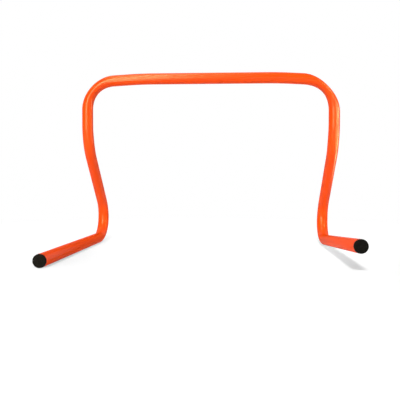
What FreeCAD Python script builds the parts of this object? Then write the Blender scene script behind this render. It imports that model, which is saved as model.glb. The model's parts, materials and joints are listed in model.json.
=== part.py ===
"""Speed hurdle: one bent plastic tube that stands on two long feet, with a push-in plug in each end.

Millimetres. +Z is up, +X runs along the crossbar to the right, and the feet point to -Y.
The origin is on the floor, under the middle of the hurdle's bounding box.
Bend radii and straight runs are taken on the tube's centre line.
"""
import FreeCAD, Part
import math
import os

from FreeCAD import Vector

# Tube
TUBE_OD = 19.0
TUBE_WALL = 1.5

# Crossbar, whose ends droop a little before the corners
OVERALL_HEIGHT = 305.0        # floor to the top of the crossbar
LEG_SPACING = 429.0           # from leg to leg, between centre lines
DROOP_ANGLE = 3.3             # degrees below the level
DROOP_RADIUS = 780.0
DROOP_RUN = 19.0              # straight run between the droop's bend and the wider corner
LEFT_CORNER_RADIUS = 50.0
RIGHT_CORNER_RADIUS = 57.0

# Legs, which lean back at the bottom to set the crossbar over the middle of the feet
UPRIGHT_RUN = 20.0            # straight run between the wider corner and the lean's bend
LEAN_ANGLE = 44.0             # degrees from the vertical
LEAN_RADIUS = 82.0
FOOT_BEND_RADIUS = 42.0

# Feet: the left one lies flat, and the right one is turned up and in a little
FOOT_LENGTH = 306.0           # straight run from the foot's bend to the tube's end
LEFT_FOOT_RISE = 0.0          # degrees
LEFT_FOOT_TOE_IN = 0.0        # degrees
RIGHT_FOOT_RISE = 4.4         # degrees
RIGHT_FOOT_TOE_IN = 1.2       # degrees

# End plugs
PLUG_HEAD_THICKNESS = 3.0
PLUG_HEAD_ROUNDING = 1.0      # rim of the head's outer face
PLUG_STEM_GAP = 1.6           # from the stem to the tube's bore, bridged by the ribs
PLUG_STEM_WALL = 1.4
PLUG_STEM_NOSE = 1.6          # plain stem past the last rib
PLUG_STEM_CHAMFER = 0.8       # lead-in at the end of that nose
PLUG_FLOOR = 1.2              # solid plastic under the head, where the stem's hollow stops
RIB_COUNT = 4
RIB_GAP = 0.7                 # plain stem above each rib
RIB_EDGE = 0.5                # width of a rib's outer edge
RIB_RAMP = 2.2                # length of a rib's sloping flank, on the side that goes in first
RIB_CLEARANCE = 0.05          # running clearance of the ribs in the bore, on the radius


def bend_reach(radius, turn):
    """How far from a corner point the bend that rounds it begins; turn is in degrees."""
    return radius * math.tan(math.radians(turn) / 2)


TUBE_RADIUS = TUBE_OD / 2
BORE_RADIUS = TUBE_RADIUS - TUBE_WALL

# Corner points of the centre line, with the crossbar and the upright legs in the plane Y = 0
LEG_X = LEG_SPACING / 2
BAR_Z = OVERALL_HEIGHT - TUBE_RADIUS
CORNER_REACH = bend_reach(max(LEFT_CORNER_RADIUS, RIGHT_CORNER_RADIUS), 90 - DROOP_ANGLE)
DROOP_LENGTH = bend_reach(DROOP_RADIUS, DROOP_ANGLE) + DROOP_RUN + CORNER_REACH
DROOP_X = LEG_X - DROOP_LENGTH * math.cos(math.radians(DROOP_ANGLE))
CORNER_Z = BAR_Z - DROOP_LENGTH * math.sin(math.radians(DROOP_ANGLE))
LEAN_Z = CORNER_Z - CORNER_REACH - UPRIGHT_RUN - bend_reach(LEAN_RADIUS, LEAN_ANGLE)

# Centre of the foot bends, which touch the leaning legs behind them and the floor line below them
LEAN = math.radians(LEAN_ANGLE)
FOOT_BEND_Z = TUBE_RADIUS + FOOT_BEND_RADIUS
LEAN_HEIGHT = LEAN_Z - FOOT_BEND_Z - FOOT_BEND_RADIUS * math.sin(LEAN)
FOOT_BEND_Y = LEAN_HEIGHT * math.tan(LEAN) - FOOT_BEND_RADIUS * math.cos(LEAN)


def foot_direction(side, rise, toe_in):
    """Direction from the foot's bend to its free end; side is -1 on the left and 1 on the right."""
    level = math.cos(math.radians(rise))
    inward = -side * math.sin(math.radians(toe_in)) * level
    forward = -math.cos(math.radians(toe_in)) * level
    return Vector(inward, forward, math.sin(math.radians(rise)))


def foot_corner(side, rise):
    """Point behind the foot's bend, where the line of the leaning leg and that of the foot cross."""
    tilt = math.radians(rise)
    bend_end = Vector(
        side * LEG_X,
        FOOT_BEND_Y - FOOT_BEND_RADIUS * math.sin(tilt),
        FOOT_BEND_Z - FOOT_BEND_RADIUS * math.cos(tilt),
    )
    backward = Vector(0, math.cos(tilt), -math.sin(tilt))
    return bend_end + backward * bend_reach(FOOT_BEND_RADIUS, 90 + LEAN_ANGLE + rise)


def side_corners(side, rise, toe_in):
    """Corner points of one half of the tube, from the crossbar to the foot's free end."""
    lean_corner = Vector(side * LEG_X, 0, LEAN_Z)
    corner = foot_corner(side, rise)
    along_foot = foot_direction(side, rise, toe_in)
    turn = math.degrees((corner - lean_corner).getAngle(along_foot))
    return [
        Vector(side * DROOP_X, 0, BAR_Z),
        Vector(side * LEG_X, 0, CORNER_Z),
        lean_corner,
        corner,
        corner + along_foot * (bend_reach(FOOT_BEND_RADIUS, turn) + FOOT_LENGTH),
    ]


def side_radii(corner_radius):
    """Bend radii at all those points but the last."""
    return [DROOP_RADIUS, corner_radius, LEAN_RADIUS, FOOT_BEND_RADIUS]


def bent_path(corners, radii):
    """Straight runs between the corner points, with a tangent arc at each inner one."""
    edges = []
    run_start = corners[0]
    for before, corner, after, radius in zip(corners, corners[1:], corners[2:], radii):
        back = (before - corner).normalize()
        ahead = (after - corner).normalize()
        half_angle = back.getAngle(ahead) / 2
        reach = radius / math.tan(half_angle)
        to_middle = (back + ahead).normalize() * (radius / math.sin(half_angle) - radius)
        arc_start = corner + back * reach
        arc_end = corner + ahead * reach
        edges.append(Part.LineSegment(run_start, arc_start).toShape())
        edges.append(Part.Arc(arc_start, corner + to_middle, arc_end).toShape())
        run_start = arc_end
    edges.append(Part.LineSegment(run_start, corners[-1]).toShape())
    return Part.Wire(edges)


def hurdle_path():
    """Centre line of the whole tube, from the left foot's end over the crossbar to the right foot's end."""
    left = side_corners(-1, LEFT_FOOT_RISE, LEFT_FOOT_TOE_IN)
    right = side_corners(1, RIGHT_FOOT_RISE, RIGHT_FOOT_TOE_IN)
    left_radii = side_radii(LEFT_CORNER_RADIUS)
    right_radii = side_radii(RIGHT_CORNER_RADIUS)
    return bent_path(left[::-1] + right, left_radii[::-1] + right_radii)


def swept_round(path, radius):
    """Solid of a round section carried along the path."""
    first = path.OrderedEdges[0]
    section = Part.makeCircle(radius, path.OrderedVertexes[0].Point, first.tangentAt(first.FirstParameter))
    return path.makePipeShell([Part.Wire(section)], True, False)


def hurdle_tube(path):
    """The bent tube, open at both ends."""
    return swept_round(path, TUBE_RADIUS).cut(swept_round(path, BORE_RADIUS))


def stem_outline(stem_radius, rib_radius):
    """Half-section of the stem's outside, from the head past each rib to the tip."""
    points = []
    height = 0
    for _ in range(RIB_COUNT):
        points.append(Vector(stem_radius, 0, height))
        height -= RIB_GAP
        points.append(Vector(stem_radius, 0, height))
        points.append(Vector(rib_radius, 0, height))
        height -= RIB_EDGE
        points.append(Vector(rib_radius, 0, height))
        height -= RIB_RAMP
    points.append(Vector(stem_radius, 0, height))
    height -= PLUG_STEM_NOSE
    points.append(Vector(stem_radius, 0, height + PLUG_STEM_CHAMFER))
    points.append(Vector(stem_radius - PLUG_STEM_CHAMFER, 0, height))
    return points


def end_plug():
    """A plug about +Z: its head on the tube's end at height 0, and its hollow ribbed stem below that."""
    stem_radius = BORE_RADIUS - PLUG_STEM_GAP
    hollow_radius = stem_radius - PLUG_STEM_WALL
    stem = stem_outline(stem_radius, BORE_RADIUS - RIB_CLEARANCE)
    rim_top = Vector(TUBE_RADIUS - PLUG_HEAD_ROUNDING, 0, PLUG_HEAD_THICKNESS)
    rim_bottom = Vector(TUBE_RADIUS, 0, PLUG_HEAD_THICKNESS - PLUG_HEAD_ROUNDING)
    rim_centre = Vector(rim_top.x, 0, rim_bottom.z)
    rim_middle = rim_centre + Vector(1, 0, 1).normalize() * PLUG_HEAD_ROUNDING
    straight = Part.makePolygon([
        rim_bottom,
        Vector(TUBE_RADIUS, 0, 0),
        *stem,
        Vector(hollow_radius, 0, stem[-1].z),
        Vector(hollow_radius, 0, -PLUG_FLOOR),
        Vector(0, 0, -PLUG_FLOOR),
        Vector(0, 0, PLUG_HEAD_THICKNESS),
        rim_top,
    ])
    rim = Part.Arc(rim_top, rim_middle, rim_bottom).toShape()
    return Part.Face(Part.Wire([*straight.Edges, rim])).revolve(Vector(0, 0, 0), Vector(0, 0, 1), 360)


def seated_plug(end, outward):
    """A plug with its head against the tube's end, facing outward."""
    plug = end_plug()
    plug.Placement = FreeCAD.Placement(end, FreeCAD.Rotation(Vector(0, 0, 1), outward))
    return plug


def centred(pieces):
    """The pieces moved along Y, so that the middle of their bounding box is over the origin."""
    box = Part.makeCompound(list(pieces.values())).optimalBoundingBox(False, False)
    to_middle = Vector(0, -(box.YMin + box.YMax) / 2, 0)
    return {name: piece.translated(to_middle) for name, piece in pieces.items()}


def build():
    """All pieces of the hurdle, by name."""
    path = hurdle_path()
    left_end = path.OrderedVertexes[0].Point
    right_end = path.OrderedVertexes[-1].Point
    return centred({
        "hurdle_tube": hurdle_tube(path),
        "left_end_plug": seated_plug(left_end, foot_direction(-1, LEFT_FOOT_RISE, LEFT_FOOT_TOE_IN)),
        "right_end_plug": seated_plug(right_end, foot_direction(1, RIGHT_FOOT_RISE, RIGHT_FOOT_TOE_IN)),
    })


def main():
    os.makedirs("parts", exist_ok=True)
    for name, piece in build().items():
        piece.exportStep(f"parts/{name}.step")
        box = piece.optimalBoundingBox(False, False)
        print(f"{name}: valid {piece.isValid()}, solids {len(piece.Solids)}, volume {piece.Volume:.1f} mm3")
        print(f"  X {box.XMin:.3f} {box.XMax:.3f}  Y {box.YMin:.3f} {box.YMax:.3f}  Z {box.ZMin:.3f} {box.ZMax:.3f}")
    length = hurdle_path().Length
    section = math.pi * (TUBE_RADIUS**2 - BORE_RADIUS**2)
    print(f"tube length {length:.1f} mm, section times length {section * length:.1f} mm3")


main()
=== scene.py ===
"""Looks of the speed hurdle: a bent orange tube with a black plug in each end, on a white floor.

Metres and radians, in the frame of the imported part: +Z is up, +X runs along the crossbar to the right,
and the feet point to -Y.
"""
import json
import math
from collections import namedtuple

import bmesh
import bpy
from mathutils import Matrix, Vector


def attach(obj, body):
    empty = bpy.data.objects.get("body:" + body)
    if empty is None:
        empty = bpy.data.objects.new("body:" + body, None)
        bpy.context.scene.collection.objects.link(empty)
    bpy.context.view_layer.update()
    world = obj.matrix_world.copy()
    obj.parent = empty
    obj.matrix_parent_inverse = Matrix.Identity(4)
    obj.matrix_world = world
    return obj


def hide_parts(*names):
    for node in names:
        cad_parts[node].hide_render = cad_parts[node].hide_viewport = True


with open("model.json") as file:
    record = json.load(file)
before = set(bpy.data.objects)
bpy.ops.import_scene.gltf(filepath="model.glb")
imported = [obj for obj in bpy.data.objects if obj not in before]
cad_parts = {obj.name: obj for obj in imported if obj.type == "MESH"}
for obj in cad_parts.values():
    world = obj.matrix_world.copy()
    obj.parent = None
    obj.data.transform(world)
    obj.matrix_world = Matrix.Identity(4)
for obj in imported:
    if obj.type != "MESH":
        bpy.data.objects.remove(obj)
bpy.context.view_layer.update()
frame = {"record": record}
MOUNTS = {mount["name"]: mount for mount in frame["record"]["mounts"]}

# A bend of the tube: its radius on the centre line, and the share of its width that it loses in its own plane
Bend = namedtuple("Bend", "radius flattening")
# A place along the tube: inward points to the bend's centre, and is None on a straight run
Station = namedtuple("Station", "point tangent inward narrow wide shift strain")
# How strong each kind of mark on the tube's surface is, from 0 to 1
Marks = namedtuple("Marks", "lines clouds peel scratches scuffs stretched")
# A light: its place, the point it is turned to, its sides, its brightness (1 is white) and its beam's angle
Light = namedtuple("Light", "place target width height brightness beam")
# A row of panels: the height it is turned to, its distance from there, its fall below the level, the turn of
# its first panel from +X to +Y, and its brightness
PanelRow = namedtuple("PanelRow", "height distance fall first_turn brightness")

# Tube
SKIN_INSET = 0.00001                  # keeps the surfaces inside the box of the built part
TUBE_RADIUS = MOUNTS["left_foot"]["dims"]["r_mm"] / 1000 - SKIN_INSET
TUBE_WALL = 0.0015
BORE_RADIUS = TUBE_RADIUS - TUBE_WALL
TUBE_END_CHAMFER = 0.0005
DROOP_ANGLE = math.radians(3.3)       # of the crossbar's ends, below the level
LEAN_ANGLE = math.radians(44)         # of the lower legs, from the vertical
DROOP_BEND = Bend(0.780, 0.0)
LEFT_CORNER = Bend(0.050, 0.14)
RIGHT_CORNER = Bend(0.057, 0.30)
LEAN_BEND = Bend(0.082, 0.02)
FOOT_BEND = Bend(0.042, 0.075)
FLATTENING_RAMP = 0.50                # share of a bend's length over which the flattening comes and goes
RUN_STEP = 0.006                      # between the rings of a straight run
BEND_STEP = 0.002                     # between the rings of a bend
TUBE_SIDES = 48
TUBE_SHARP_ANGLE = math.radians(30)   # edges sharper than this stay crisp
SIDEWAYS_LIMIT = 0.1                  # a leg's own bends have their centres less than this to the side
MERGE_DISTANCE = 1e-7                 # points closer than this are one

# End plugs, measured outward from the tube's end
PLUG_HEAD_THICKNESS = 0.003
PLUG_RIM_ROUNDING = 0.001             # outer edge of the head
PLUG_SEAT_ROUNDING = 0.00025          # edge of the head against the tube
PLUG_FACE_DISH = 0.00012              # depth of the sink in the middle of the head
DISH_EDGE_SHARE = 0.9                 # of the flat face's radius, where the sink ends
DISH_MIDWAY_SHARE = 0.5               # of that radius, where the sink is a bit shallower than in the middle
DISH_MIDWAY_DEPTH = 0.75 * PLUG_FACE_DISH
GATE_RADIUS = 0.0011                  # moulding mark in the middle of the sink
GATE_FLOOR_RADIUS = 0.8 * GATE_RADIUS
GATE_DEPTH = 0.0003
STEM_GAP = 0.0016                     # from the stem to the tube's bore, bridged by the ribs
STEM_RADIUS = BORE_RADIUS - STEM_GAP
STEM_WALL = 0.0014
STEM_NOSE = 0.0016                    # plain stem past the last rib
STEM_CHAMFER = 0.0008
STEM_FLOOR = 0.0012                   # solid plastic under the head, where the stem's hollow stops
RIB_CLEARANCE = 0.00005               # of the ribs in the bore
RIB_RADIUS = BORE_RADIUS - RIB_CLEARANCE
RIB_COUNT = 4
RIB_GAP = 0.0007                      # plain stem above each rib
RIB_EDGE = 0.0005                     # width of a rib's outer edge
RIB_RAMP = 0.0022                     # length of a rib's sloping flank
ROUNDING_STEPS = 6
PLUG_SIDES = 72
PLUG_SHARP_ANGLE = math.radians(40)

# Colours, linear
ORANGE = (0.94, 0.072, 0.003, 1)
ORANGE_DEEP = (0.91, 0.062, 0.002, 1)
ORANGE_STRETCHED = (0.95, 0.105, 0.010, 1)
SCUFF_GREY = (0.50, 0.115, 0.050, 1)
PLUG_BLACK = (0.0030, 0.0028, 0.0027, 1)
SPECK_GREY = (0.022, 0.021, 0.020, 1)
FLOOR_WHITE = (0.80, 0.80, 0.80, 1)
WHITE = (1, 1, 1, 1)
WARM = (1, 0.80, 0.40, 1)

# Finish of the surfaces
LINE_DEPTH = 0.00003                  # of the lines along the tube
PEEL_DEPTH = 0.00002                  # of the slight waviness all over it
SCUFF_DEPTH = 0.00005
SCUFF_FULL = 0.0012                   # height above the floor up to which the tube is scuffed most
SCUFF_TOP = 0.0045                    # height above which it isn't scuffed
SCUFF_SHARE = 0.6                     # of grey where the tube is scuffed most
SCUFF_ROUGHNESS = 0.25                # on top of the tube's own
SCRATCH_SHARE = 0.18                  # of pale orange in a scratch
GRAIN_DEPTH = 0.00008                 # of the grain on the plugs
SPECK_SHARE = 0.35                    # of grey in a speck on them
TUBE_GLOSS = 0.15                     # seen face on
TUBE_EDGE_GLOSS = 0.002               # seen at a grazing angle
PLUG_GLOSS = 0.03

# Sockets of a node that mixes two colours
MIX_SHARE = 0
MIX_FIRST = 6
MIX_SECOND = 7
MIX_RESULT = 2

# Camera
CAMERA_PLACE = Vector((0.04376, -0.87219, 0.11255))
CAMERA_YAW = math.radians(-3.645)     # from +Y to the right
CAMERA_PITCH = math.radians(-1.726)
CAMERA_ROLL = math.radians(0.116)
FOCAL_LENGTH_PIXELS = 535.4
PICTURE_WIDTH_PIXELS = 400
SENSOR_WIDTH = 36.0                   # in millimetres, as is the lens
CAMERA_LENS = SENSOR_WIDTH * FOCAL_LENGTH_PIXELS / PICTURE_WIDTH_PIXELS

# White surroundings
FLOOR_SIZE = 30.0
FLOOR_GAP = 0.0001                    # below the tube, so that the two surfaces stay apart
FLOOR_NEAR = -0.15                    # Y of the floor in front of the hurdle, where the lamps light it most
FLOOR_FAR = 0.50                      # Y of the floor behind it
NEAR_GLOW = 0.20                      # what the camera sees on top of the lit floor, so that it looks white
FAR_GLOW = 0.61
FADE_START = 0.14                     # Y behind which the shadows fade
FADE_END = 0.30
FADE_SHARE = 0.7                      # how much of a shadow is gone there
LIT_RADIUS = 0.45                     # of the floor around the hurdle that shows the light as it falls
WHITE_RADIUS = 0.90                   # where the floor has turned white altogether
AMBIENT_FRONT = 0.12                  # light that comes from the surroundings in front
AMBIENT_BACK = 0.45                   # light that comes from those at the back
ROOM_DIMMED = 0.05                    # what gloss shows of the room in front of the hurdle
FULLY_BACK = 0.6                      # Y of a direction from which on the surroundings are those at the back

# Lamps, which light the surfaces and don't show in the gloss
ALL_ROUND = math.pi
SIDE_BEAM = math.radians(40)
LEG_BEAM = math.radians(20)
FOOT_BEAM = math.radians(25)
LAMPS = {
    "front": Light((0.00, -1.90, 2.00), (0, 0, 0.1), 0.4, 0.4, 86, ALL_ROUND),
    "top": Light((-0.1, -0.1, 2.2), (0, 0, 0), 0.8, 0.8, 2, ALL_ROUND),
    "right": Light((0.90, -0.50, 0.40), (0.21, 0.08, 0.15), 0.3, 0.3, 18, SIDE_BEAM),
    "left": Light((-0.90, -1.00, 0.30), (0.1, 0, 0.1), 0.5, 0.4, 11, ALL_ROUND),
    "left_leg": Light((-0.30, -1.30, 0.12), (-0.21, 0.12, 0.07), 0.3, 0.3, 30, LEG_BEAM),
    "right_leg": Light((0.30, -1.30, 0.12), (0.21, 0.12, 0.07), 0.3, 0.3, 28, LEG_BEAM),
    "left_foot": Light((0.45, -0.90, 0.30), (-0.21, -0.08, 0.02), 0.3, 0.3, 12, FOOT_BEAM),
    "right_foot": Light((-0.50, -0.90, 0.25), (0.21, -0.05, 0.03), 0.3, 0.3, 27, FOOT_BEAM),
}

# Panels, which show only in the gloss: each is turned to a spot on the tube
BAR_SPOT = (-0.14, 0.061, 0.295)
BAR_PANEL_SIDEWAYS = -0.17            # X of the way to the panels, for about 1 forward or upward
BAR_PANELS = (                        # rise above the level, and brightness
    (math.radians(15), 52),
    (math.radians(55), 52),
    (math.radians(95), 22),
)
BAR_LOW_DIRECTION = (BAR_PANEL_SIDEWAYS, -0.90, -0.42)
LEFT_SPOT = (-0.21, 0.061, 0.22)
LEFT_PANEL_COUNT = 3
LEFT_PANEL_STEP = math.radians(30)    # between the panels, round the line straight forward from the spot
LEFT_PANEL_AWAY = 0.42                # from that line, for LEFT_PANEL_FORWARD along it
LEFT_PANEL_FORWARD = 0.90
RIGHT_SPOT_X = 0.222
RIGHT_SPOT_Y = 0.07
RIGHT_ROWS = (
    PanelRow(0.225, 0.40, math.radians(-8), math.radians(-50), 90),
    PanelRow(0.200, 0.40, math.radians(12), math.radians(-50), 90),
    PanelRow(0.165, 0.24, math.radians(30), math.radians(-32), 75),
)
RIGHT_COLUMN_COUNT = 3
RIGHT_COLUMN_TURN = math.radians(26)
RIGHT_WIDTH_SHARE = 0.42              # of a row's distance
RIGHT_HEIGHT_SHARE = 0.35             # of a row's distance
RIGHT_PANEL_BEAM = math.radians(24)
CORNER_SPOT = (0.21, 0.06, 0.27)
CORNER_DIRECTION = (0.61, -0.40, 0.61)


def bend_reach(radius, turn):
    """How far from a corner point the bend that rounds it begins."""
    return radius * math.tan(turn / 2)


def mount_line(name):
    """Start, end and direction of the straight run of tube at a mount."""
    mount = MOUNTS[name]
    middle = Vector(mount["pos_m"])
    axis = Vector(mount["axis"]).normalized()
    half = axis * mount["dims"]["length_mm"] / 2000
    return middle - half, middle + half, axis


# Corner points of the centre line
BAR = Vector(MOUNTS["crossbar"]["pos_m"])
LEG_X = -MOUNTS["left_foot"]["pos_m"][0]
DROOP_X = MOUNTS["crossbar"]["dims"]["length_mm"] / 2000 + bend_reach(DROOP_BEND.radius, DROOP_ANGLE)
CORNER_Z = BAR.z - (LEG_X - DROOP_X) * math.tan(DROOP_ANGLE)


def side_corners(side, foot):
    """Corner points of one half of the tube, from the crossbar to the foot's free end."""
    foot_start, foot_end, along_foot = mount_line(foot)
    down_leg = Vector((0, math.sin(LEAN_ANGLE), -math.cos(LEAN_ANGLE)))
    foot_corner = foot_start - along_foot * bend_reach(FOOT_BEND.radius, down_leg.angle(along_foot))
    lean_height = (foot_corner.y - BAR.y) / math.tan(LEAN_ANGLE)
    return [
        Vector((side * DROOP_X, BAR.y, BAR.z)),
        Vector((side * LEG_X, BAR.y, CORNER_Z)),
        Vector((side * LEG_X, BAR.y, foot_corner.z + lean_height)),
        foot_corner,
        foot_end,
    ]


def run_stations(start, end):
    """Stations along a straight run, without its end."""
    run = end - start
    count = max(1, round(run.length / RUN_STEP))
    for i in range(count):
        point = start + run * (i / count)
        yield Station(point, run.normalized(), None, TUBE_RADIUS, TUBE_RADIUS, Vector(), 0.0)


def flattening_share(part):
    """How much of a bend's flattening is there at that part of its length."""
    near_end = min(1.0, min(part, 1 - part) / FLATTENING_RAMP)
    return near_end * near_end * (3 - 2 * near_end)


def bend_stations(corner, back, ahead, bend):
    """Stations along the arc that rounds a corner point, without its end.

    The section keeps its girth, so it widens across the bend's plane as it flattens in it. On the legs the
    widening goes to the inner side.
    """
    half_angle = back.angle(ahead) / 2
    turn = math.pi - 2 * half_angle
    to_centre = (back + ahead).normalized()
    centre = corner + to_centre * (bend.radius / math.sin(half_angle))
    arc_start = corner + back * (bend.radius / math.tan(half_angle))
    outward = (arc_start - centre).normalized()
    onward = -back
    on_leg = abs(corner.x) > DROOP_X and abs(to_centre.x) < SIDEWAYS_LIMIT
    inner_side = Vector((-math.copysign(1, corner.x), 0, 0)) if on_leg else Vector()
    count = max(4, round(bend.radius * turn / BEND_STEP))
    for i in range(count):
        angle = turn * i / count
        spoke = outward * math.cos(angle) + onward * math.sin(angle)
        tangent = onward * math.cos(angle) - outward * math.sin(angle)
        narrow = TUBE_RADIUS * (1 - bend.flattening * flattening_share(i / count))
        wide = math.sqrt(2 * TUBE_RADIUS**2 - narrow**2)
        shift = inner_side * (wide - TUBE_RADIUS)
        strain = TUBE_RADIUS / bend.radius * flattening_share(i / count)
        yield Station(centre + spoke * bend.radius, tangent, -spoke, narrow, wide, shift, strain)


def tube_stations():
    """Stations along the whole tube, from the left foot's end over the crossbar to the right foot's end."""
    left = side_corners(-1, "left_foot")
    right = side_corners(1, "right_foot")
    corners = left[::-1] + right
    left_bends = [DROOP_BEND, LEFT_CORNER, LEAN_BEND, FOOT_BEND]
    right_bends = [DROOP_BEND, RIGHT_CORNER, LEAN_BEND, FOOT_BEND]
    bends = left_bends[::-1] + right_bends
    stations = []
    run_start = corners[0]
    for before, corner, after, bend in zip(corners, corners[1:], corners[2:], bends):
        back = (before - corner).normalized()
        ahead = (after - corner).normalized()
        reach = bend.radius / math.tan(back.angle(ahead) / 2)
        stations += run_stations(run_start, corner + back * reach)
        stations += bend_stations(corner, back, ahead, bend)
        run_start = corner + ahead * reach
    stations += run_stations(run_start, corners[-1])
    last = stations[-1]
    stations.append(last._replace(point=corners[-1]))
    return stations


def carried_directions(stations):
    """For each station a direction across the tube, carried along the tube without twist."""
    direction = Vector((0, 0, 1))
    carried = []
    for station in stations:
        direction = (direction - station.tangent * direction.dot(station.tangent)).normalized()
        carried.append(direction)
    return carried


def add_ring(mesh, layers, station, up, length, inset):
    """One ring of the tube's wall, that far inside its outer surface, at that length along the tube."""
    straight_layer, strain_layer = layers
    side = station.tangent.cross(up)
    inward = station.inward or up
    across = station.tangent.cross(inward)
    ring = []
    for i in range(TUBE_SIDES):
        angle = math.tau * i / TUBE_SIDES
        spoke = up * math.cos(angle) + side * math.sin(angle)
        in_plane = inward * spoke.dot(inward) * (station.narrow - inset)
        cross_plane = across * spoke.dot(across) * (station.wide - inset)
        vertex = mesh.verts.new(station.point + station.shift + in_plane + cross_plane)
        radius = TUBE_RADIUS - inset
        vertex[straight_layer] = Vector((length, radius * math.cos(angle), radius * math.sin(angle)))
        vertex[strain_layer] = -spoke.dot(inward) * station.strain
        ring.append(vertex)
    return ring


def join_rings(mesh, rings, closed):
    """Faces between neighbouring rings, and between the last and the first where the row is closed."""
    pairs = list(zip(rings, rings[1:]))
    if closed:
        pairs.append((rings[-1], rings[0]))
    for first, second in pairs:
        for i in range(len(first)):
            j = (i + 1) % len(first)
            mesh.faces.new((first[i], first[j], second[j], second[i]))


def finished_object(name, mesh, sharp_angle):
    """An object of that mesh, shaded smooth except at edges sharper than the angle."""
    bmesh.ops.remove_doubles(mesh, verts=mesh.verts, dist=MERGE_DISTANCE)
    bmesh.ops.recalc_face_normals(mesh, faces=mesh.faces)
    data = bpy.data.meshes.new(name)
    mesh.to_mesh(data)
    mesh.free()
    data.shade_smooth()
    data.set_sharp_from_angle(angle=sharp_angle)
    made = bpy.data.objects.new(name, data)
    bpy.context.scene.collection.objects.link(made)
    return made


def bent_tube():
    """The hollow tube, with its cut ends chamfered."""
    stations = tube_stations()
    directions = carried_directions(stations)
    lengths = [0.0]
    for before, after in zip(stations, stations[1:]):
        lengths.append(lengths[-1] + (after.point - before.point).length)
    mesh = bmesh.new()
    layers = (mesh.verts.layers.float_vector.new("straight"), mesh.verts.layers.float.new("strain"))
    places = list(zip(stations, directions, lengths))

    def end_place(end, step):
        """The place next to an end of the tube, a chamfer's length away from it."""
        station, up, length = places[end]
        moved = station.point + station.tangent * (step * TUBE_END_CHAMFER)
        return station._replace(point=moved), up, length + step * TUBE_END_CHAMFER

    outside = [end_place(0, 1), *places[1:-1], end_place(-1, -1)]
    rings = [add_ring(mesh, layers, *places[0], TUBE_END_CHAMFER)]
    rings += [add_ring(mesh, layers, *place, 0.0) for place in outside]
    rings.append(add_ring(mesh, layers, *places[-1], TUBE_END_CHAMFER))
    rings += [add_ring(mesh, layers, *place, TUBE_WALL) for place in reversed(places)]
    join_rings(mesh, rings, closed=True)
    return finished_object("bent_tube", mesh, TUBE_SHARP_ANGLE)


def rounded_edge(centre_radius, centre_height, radius, start_angle):
    """Points of a quarter circle in a half-section, from the start angle on clockwise."""
    points = []
    for i in range(ROUNDING_STEPS + 1):
        angle = start_angle - math.pi / 2 * i / ROUNDING_STEPS
        points.append((centre_radius + radius * math.cos(angle), centre_height + radius * math.sin(angle)))
    return points


def head_outline():
    """Half-section of a plug's head as radius and height, from the middle of its face to its seat."""
    face = PLUG_HEAD_THICKNESS
    sink = face - PLUG_FACE_DISH
    rim_radius = TUBE_RADIUS - PLUG_RIM_ROUNDING
    seat_radius = TUBE_RADIUS - PLUG_SEAT_ROUNDING
    outline = [
        (0, sink - GATE_DEPTH),
        (GATE_FLOOR_RADIUS, sink - GATE_DEPTH),
        (GATE_RADIUS, sink),
        (rim_radius * DISH_MIDWAY_SHARE, face - DISH_MIDWAY_DEPTH),
        (rim_radius * DISH_EDGE_SHARE, face),
    ]
    outline += rounded_edge(rim_radius, face - PLUG_RIM_ROUNDING, PLUG_RIM_ROUNDING, math.pi / 2)
    outline += rounded_edge(seat_radius, PLUG_SEAT_ROUNDING, PLUG_SEAT_ROUNDING, 0)
    return outline


def stem_outline():
    """Half-section of a plug's stem, from the head past each rib to the tip, and up again in the hollow."""
    outline = []
    height = 0
    for _ in range(RIB_COUNT):
        outline.append((STEM_RADIUS, height))
        height -= RIB_GAP
        outline.append((STEM_RADIUS, height))
        outline.append((RIB_RADIUS, height))
        height -= RIB_EDGE
        outline.append((RIB_RADIUS, height))
        height -= RIB_RAMP
    outline.append((STEM_RADIUS, height))
    height -= STEM_NOSE
    hollow_radius = STEM_RADIUS - STEM_WALL
    outline += [
        (STEM_RADIUS, height + STEM_CHAMFER),
        (STEM_RADIUS - STEM_CHAMFER, height),
        (hollow_radius, height),
        (hollow_radius, -STEM_FLOOR),
        (0, -STEM_FLOOR),
    ]
    return outline


def end_plug(name, foot):
    """A plug seated in the end of that foot."""
    _, tube_end, outward = mount_line(foot)
    turned = Matrix.Translation(tube_end) @ outward.to_track_quat("Z", "Y").to_matrix().to_4x4()
    mesh = bmesh.new()
    rings = []
    for radius, height in head_outline() + stem_outline():
        ring = []
        for i in range(PLUG_SIDES):
            angle = math.tau * i / PLUG_SIDES
            place = Vector((radius * math.cos(angle), radius * math.sin(angle), height))
            ring.append(mesh.verts.new(turned @ place))
        rings.append(ring)
    join_rings(mesh, rings, closed=False)
    return finished_object(name, mesh, PLUG_SHARP_ANGLE)


def add_node(tree, kind, inputs=None, **settings):
    """A node with its settings, and its inputs set to values or linked to other nodes' outputs."""
    made = tree.nodes.new(kind)
    for name, value in settings.items():
        setattr(made, name, value)
    for name, value in (inputs or {}).items():
        if isinstance(value, bpy.types.NodeSocket):
            tree.links.new(value, made.inputs[name])
        else:
            made.inputs[name].default_value = value
    return made


def mixed_colour(tree, share, first, second):
    """Colour between two colours, or between the colours of two outputs."""
    inputs = {MIX_SHARE: share, MIX_FIRST: first, MIX_SECOND: second}
    return add_node(tree, "ShaderNodeMix", inputs, data_type="RGBA").outputs[MIX_RESULT]


def computed(tree, operation, *values):
    """Output of a maths node on numbers or outputs, held between 0 and 1."""
    maths = add_node(tree, "ShaderNodeMath", dict(enumerate(values)), operation=operation, use_clamp=True)
    return maths.outputs[0]


def between(tree, value, low, high, start=0.0, end=1.0):
    """Value brought from the range low to high into the range start to end, and held there."""
    inputs = {"Value": value, "From Min": low, "From Max": high, "To Min": start, "To Max": end}
    return add_node(tree, "ShaderNodeMapRange", inputs).outputs["Result"]


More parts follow.
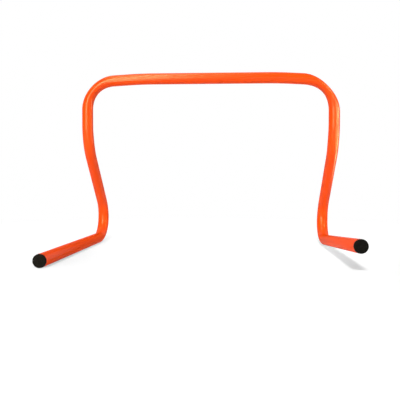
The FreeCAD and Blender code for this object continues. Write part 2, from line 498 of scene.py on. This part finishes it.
def noise(tree, place, scale, detail, stretch=(1, 1, 1)):
    """Noise whose patches are about 1/scale metres wide, and wider along an axis with a small stretch."""
    mapped = add_node(tree, "ShaderNodeMapping", {"Vector": place, "Scale": stretch}, vector_type="POINT")
    inputs = {"Vector": mapped.outputs["Vector"], "Scale": scale, "Detail": detail}
    return add_node(tree, "ShaderNodeTexNoise", inputs).outputs["Fac"]


def bumped(tree, height, distance, strength, under=None):
    """Surface normal with that height field on it, and on top of another one where one is given."""
    inputs = {"Height": height, "Distance": distance, "Strength": strength}
    if under is not None:
        inputs["Normal"] = under
    return add_node(tree, "ShaderNodeBump", inputs).outputs["Normal"]


def new_material(name):
    """An empty node material, with its tree and the output's surface socket."""
    material = bpy.data.materials.new(name)
    material.use_nodes = True
    tree = material.node_tree
    tree.nodes.clear()
    output = add_node(tree, "ShaderNodeOutputMaterial")
    return material, tree, output.inputs["Surface"]


def tube_marks(tree):
    """Marks on the tube: scuffs are near the floor, and a bend's outer side is stretched."""
    straight = add_node(tree, "ShaderNodeAttribute", attribute_name="straight").outputs["Vector"]
    strain = add_node(tree, "ShaderNodeAttribute", attribute_name="strain").outputs["Fac"]
    place = add_node(tree, "ShaderNodeTexCoord").outputs["Object"]
    height = add_node(tree, "ShaderNodeSeparateXYZ", {"Vector": place}).outputs["Z"]
    lines = noise(tree, straight, scale=2400, detail=3.0, stretch=(0.0035, 1, 1))
    clouds = noise(tree, straight, scale=22, detail=3.0, stretch=(0.5, 1, 1))
    peel = noise(tree, straight, scale=900, detail=2.0)
    streaks = noise(tree, straight, scale=900, detail=4.0, stretch=(0.03, 1, 1))
    scratches = between(tree, streaks, 0.70, 0.74)
    patches = noise(tree, place, scale=260, detail=4.0)
    low = between(tree, height, SCUFF_FULL, SCUFF_TOP, start=1.0, end=0.0)
    scuffs = computed(tree, "MULTIPLY", low, between(tree, patches, 0.46, 0.62))
    stretched = between(tree, strain, 0.04, 0.20, end=0.55)
    return Marks(lines, clouds, peel, scratches, scuffs, stretched)


def tube_colour(tree, marks):
    """Orange: deeper in clouds and lines, paler where stretched or scratched, and greyish where scuffed."""
    scratch_share = computed(tree, "MULTIPLY", marks.scratches, SCRATCH_SHARE)
    scuff_share = computed(tree, "MULTIPLY", marks.scuffs, SCUFF_SHARE)
    colour = mixed_colour(tree, between(tree, marks.clouds, 0.35, 0.70, end=0.4), ORANGE, ORANGE_DEEP)
    colour = mixed_colour(tree, between(tree, marks.lines, 0.35, 0.75, end=0.2), colour, ORANGE_DEEP)
    colour = mixed_colour(tree, marks.stretched, colour, ORANGE_STRETCHED)
    colour = mixed_colour(tree, scratch_share, colour, ORANGE_STRETCHED)
    return mixed_colour(tree, scuff_share, colour, SCUFF_GREY)


def orange_plastic():
    """Extruded plastic, coloured through, with fine lines along the tube and less gloss at grazing angles."""
    material, tree, surface = new_material("orange_plastic")
    marks = tube_marks(tree)
    colour = tube_colour(tree, marks)
    roughness = between(tree, marks.clouds, 0.3, 0.7, start=0.25, end=0.27)
    roughness = computed(tree, "ADD", roughness, computed(tree, "MULTIPLY", marks.scuffs, SCUFF_ROUGHNESS))
    normal = bumped(tree, marks.lines, LINE_DEPTH, strength=0.006)
    normal = bumped(tree, marks.peel, PEEL_DEPTH, strength=0.05, under=normal)
    normal = bumped(tree, marks.scuffs, SCUFF_DEPTH, strength=0.4, under=normal)
    facing = add_node(tree, "ShaderNodeLayerWeight", {"Blend": 0.5}).outputs["Facing"]
    gloss = between(tree, facing, 0.45, 0.70, start=TUBE_GLOSS, end=TUBE_EDGE_GLOSS)
    inputs = {"Base Color": colour, "Roughness": roughness, "Normal": normal, "Specular IOR Level": gloss}
    shader = add_node(tree, "ShaderNodeBsdfPrincipled", inputs)
    tree.links.new(shader.outputs["BSDF"], surface)
    return material


def black_plastic():
    """Moulded plastic with a fine grain and a few paler specks."""
    material, tree, surface = new_material("black_plastic")
    place = add_node(tree, "ShaderNodeTexCoord").outputs["Object"]
    grain = noise(tree, place, scale=1500, detail=3.0)
    clouds = noise(tree, place, scale=260, detail=2.0)
    specks = between(tree, noise(tree, place, scale=1100, detail=1.0), 0.62, 0.72)
    colour = mixed_colour(tree, computed(tree, "MULTIPLY", specks, SPECK_SHARE), PLUG_BLACK, SPECK_GREY)
    colour = mixed_colour(tree, between(tree, clouds, 0.4, 0.7, end=0.12), colour, SPECK_GREY)
    roughness = between(tree, grain, 0.3, 0.7, start=0.48, end=0.62)
    normal = bumped(tree, grain, GRAIN_DEPTH, strength=0.45)
    inputs = {
        "Base Color": colour,
        "Roughness": roughness,
        "Normal": normal,
        "Specular IOR Level": PLUG_GLOSS,
    }
    shader = add_node(tree, "ShaderNodeBsdfPrincipled", inputs)
    tree.links.new(shader.outputs["BSDF"], surface)
    return material


def ray_kinds(tree):
    """1 for rays from the camera, and 1 for rays off gloss or through glass."""
    path = add_node(tree, "ShaderNodeLightPath").outputs
    return path["Is Camera Ray"], computed(tree, "ADD", path["Is Glossy Ray"], path["Is Transmission Ray"])


def floor_finish():
    """White that keeps the shadows close to the hurdle, and is plain further out."""
    material, tree, surface = new_material("floor_white")
    place = add_node(tree, "ShaderNodeTexCoord").outputs["Object"]
    away = add_node(tree, "ShaderNodeVectorMath", {0: place}, operation="LENGTH").outputs["Value"]
    depth = add_node(tree, "ShaderNodeSeparateXYZ", {"Vector": place}).outputs["Y"]
    seen = computed(tree, "ADD", *ray_kinds(tree))
    glow_level = between(tree, depth, FLOOR_NEAR, FLOOR_FAR, NEAR_GLOW, FAR_GLOW)
    glow_strength = computed(tree, "MULTIPLY", seen, glow_level)
    diffuse = add_node(tree, "ShaderNodeBsdfDiffuse", {"Color": FLOOR_WHITE})
    glow = add_node(tree, "ShaderNodeEmission", {"Color": WHITE, "Strength": glow_strength})
    lit = add_node(tree, "ShaderNodeAddShader", {0: diffuse.outputs[0], 1: glow.outputs[0]})
    edge_share = between(tree, away, LIT_RADIUS, WHITE_RADIUS)
    fade_share = between(tree, depth, FADE_START, FADE_END, end=FADE_SHARE)
    white_share = computed(tree, "MULTIPLY", seen, computed(tree, "MAXIMUM", edge_share, fade_share))
    white = add_node(tree, "ShaderNodeEmission", {"Color": WHITE, "Strength": 1.0})
    mixed = add_node(tree, "ShaderNodeMixShader", {0: white_share, 1: lit.outputs[0], 2: white.outputs[0]})
    tree.links.new(mixed.outputs[0], surface)
    return material


def white_floor():
    """Level floor, just under the hurdle."""
    mesh = bmesh.new()
    lowered = Matrix.Translation((0, 0, -FLOOR_GAP))
    bmesh.ops.create_grid(mesh, x_segments=1, y_segments=1, size=FLOOR_SIZE / 2, matrix=lowered)
    data = bpy.data.meshes.new("floor")
    mesh.to_mesh(data)
    mesh.free()
    data.materials.append(floor_finish())
    floor = bpy.data.objects.new("floor", data)
    bpy.context.scene.collection.objects.link(floor)


def white_world():
    """White surroundings, dimmer as a source of light than as a background.

    What gloss shows of them is white behind the hurdle, and dim in front, where the room is.
    """
    world = bpy.data.worlds.new("studio")
    bpy.context.scene.world = world
    world.use_nodes = True
    tree = world.node_tree
    tree.nodes.clear()
    direction = add_node(tree, "ShaderNodeTexCoord").outputs["Generated"]
    toward_back = add_node(tree, "ShaderNodeSeparateXYZ", {"Vector": direction}).outputs["Y"]
    camera_ray, gloss_ray = ray_kinds(tree)
    behind = between(tree, toward_back, 0.0, FULLY_BACK, start=ROOM_DIMMED)
    seen = computed(tree, "MAXIMUM", camera_ray, computed(tree, "MULTIPLY", gloss_ray, behind))
    other_ray = computed(tree, "SUBTRACT", 1.0, computed(tree, "ADD", camera_ray, gloss_ray))
    ambient = between(tree, toward_back, -FULLY_BACK, FULLY_BACK, AMBIENT_FRONT, AMBIENT_BACK)
    strength = computed(tree, "ADD", seen, computed(tree, "MULTIPLY", other_ray, ambient))
    background = add_node(tree, "ShaderNodeBackground", {"Color": WHITE, "Strength": strength})
    output = add_node(tree, "ShaderNodeOutputWorld")
    tree.links.new(background.outputs[0], output.inputs["Surface"])


def softbox(name, light, colour):
    """A rectangular soft light, whose strength gives its brightness as seen from its target."""
    half_beam = light.beam / 2
    beam_share = 1 - half_beam / math.tan(half_beam)
    data = bpy.data.lights.new(name, "AREA")
    data.shape = "RECTANGLE"
    data.size = light.width
    data.size_y = light.height
    data.energy = math.pi * light.width * light.height * light.brightness * beam_share
    data.color = colour[:3]
    data.spread = light.beam
    box = bpy.data.objects.new(name, data)
    toward = Vector(light.target) - Vector(light.place)
    turned = toward.to_track_quat("-Z", "Y").to_matrix().to_4x4()
    box.matrix_world = Matrix.Translation(light.place) @ turned
    bpy.context.scene.collection.objects.link(box)
    return box


def lamps():
    """Soft light from the front, from above and from both sides, and beams on the lower legs and the feet."""
    for name, light in LAMPS.items():
        lamp = softbox(name, light, WHITE)
        lamp.visible_glossy = False


def gloss_panel(name, target, direction, distance, width, height, brightness, beam=ALL_ROUND):
    """A warm panel that shows only in the gloss, and that its target sees in that direction."""
    place = Vector(target) + Vector(direction).normalized() * distance
    panel = softbox(name, Light(place, target, width, height, brightness, beam), WARM)
    panel.visible_diffuse = False


def bar_panels():
    """Panels in an arc before and over the crossbar, and a low one for the lower edge of its highlight."""
    for step, (rise, brightness) in enumerate(BAR_PANELS):
        direction = (BAR_PANEL_SIDEWAYS, -math.cos(rise), math.sin(rise))
        gloss_panel(
            f"bar_panel_{step}", BAR_SPOT, direction,
            distance=2.0, width=0.25, height=1.45, brightness=brightness,
        )
    gloss_panel(
        "bar_low_panel", BAR_SPOT, BAR_LOW_DIRECTION,
        distance=0.55, width=0.07, height=0.40, brightness=45, beam=math.radians(60),
    )


def left_panels():
    """Panels in an arc before the left leg, from its outer side upward."""
    for step in range(LEFT_PANEL_COUNT):
        rise = LEFT_PANEL_STEP * step
        direction = (-LEFT_PANEL_AWAY * math.cos(rise), -LEFT_PANEL_FORWARD, LEFT_PANEL_AWAY * math.sin(rise))
        gloss_panel(
            f"left_panel_{step}", LEFT_SPOT, direction,
            distance=1.7, width=0.35, height=0.35, brightness=25,
        )


def right_panels():
    """Rows of panels close beside the right leg, and one panel above them for its corner."""
    for i, row in enumerate(RIGHT_ROWS):
        target = (RIGHT_SPOT_X, RIGHT_SPOT_Y, row.height)
        level = math.cos(row.fall)
        for column in range(RIGHT_COLUMN_COUNT):
            turn = row.first_turn + RIGHT_COLUMN_TURN * column
            direction = (level * math.cos(turn), level * math.sin(turn), -math.sin(row.fall))
            gloss_panel(
                f"right_panel_{i}_{column}", target, direction, row.distance,
                width=RIGHT_WIDTH_SHARE * row.distance, height=RIGHT_HEIGHT_SHARE * row.distance,
                brightness=row.brightness, beam=RIGHT_PANEL_BEAM,
            )
    gloss_panel(
        "corner_panel", CORNER_SPOT, CORNER_DIRECTION,
        distance=0.6, width=0.30, height=0.30, brightness=90, beam=math.radians(34),
    )


def photo_camera():
    """Camera at the photograph's viewing angle."""
    forward = Vector((
        math.sin(CAMERA_YAW) * math.cos(CAMERA_PITCH),
        math.cos(CAMERA_YAW) * math.cos(CAMERA_PITCH),
        math.sin(CAMERA_PITCH),
    ))
    level = Vector((math.cos(CAMERA_YAW), -math.sin(CAMERA_YAW), 0))
    upright = level.cross(forward)
    right = level * math.cos(CAMERA_ROLL) + upright * math.sin(CAMERA_ROLL)
    up = upright * math.cos(CAMERA_ROLL) - level * math.sin(CAMERA_ROLL)
    data = bpy.data.cameras.new("camera")
    data.sensor_width = SENSOR_WIDTH
    data.lens = CAMERA_LENS
    data.clip_start = 0.01
    data.clip_end = 100
    camera = bpy.data.objects.new("camera", data)
    turned = Matrix((right, up, -forward)).transposed().to_4x4()
    camera.matrix_world = Matrix.Translation(CAMERA_PLACE) @ turned
    bpy.context.scene.collection.objects.link(camera)
    bpy.context.scene.camera = camera


def place_piece(piece, material, body, node):
    """Gives a piece its finish, and has it move with a body and stand for a node.

    The floor's white takes no colour from the pieces, only their shadows.
    """
    piece.data.materials.append(material)
    piece.visible_diffuse = False
    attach(piece, body)
    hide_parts(node)


def hurdle():
    """The tube and its two plugs."""
    place_piece(bent_tube(), orange_plastic(), "frame", "hurdle_tube")
    black = black_plastic()
    for side in ("left", "right"):
        plug = end_plug(f"{side}_plug_moulding", f"{side}_foot")
        place_piece(plug, black, f"{side}_plug", f"{side}_end_plug")


hurdle()
white_floor()
white_world()
lamps()
bar_panels()
left_panels()
right_panels()
photo_camera()
bpy.context.scene.view_settings.view_transform = "Standard"
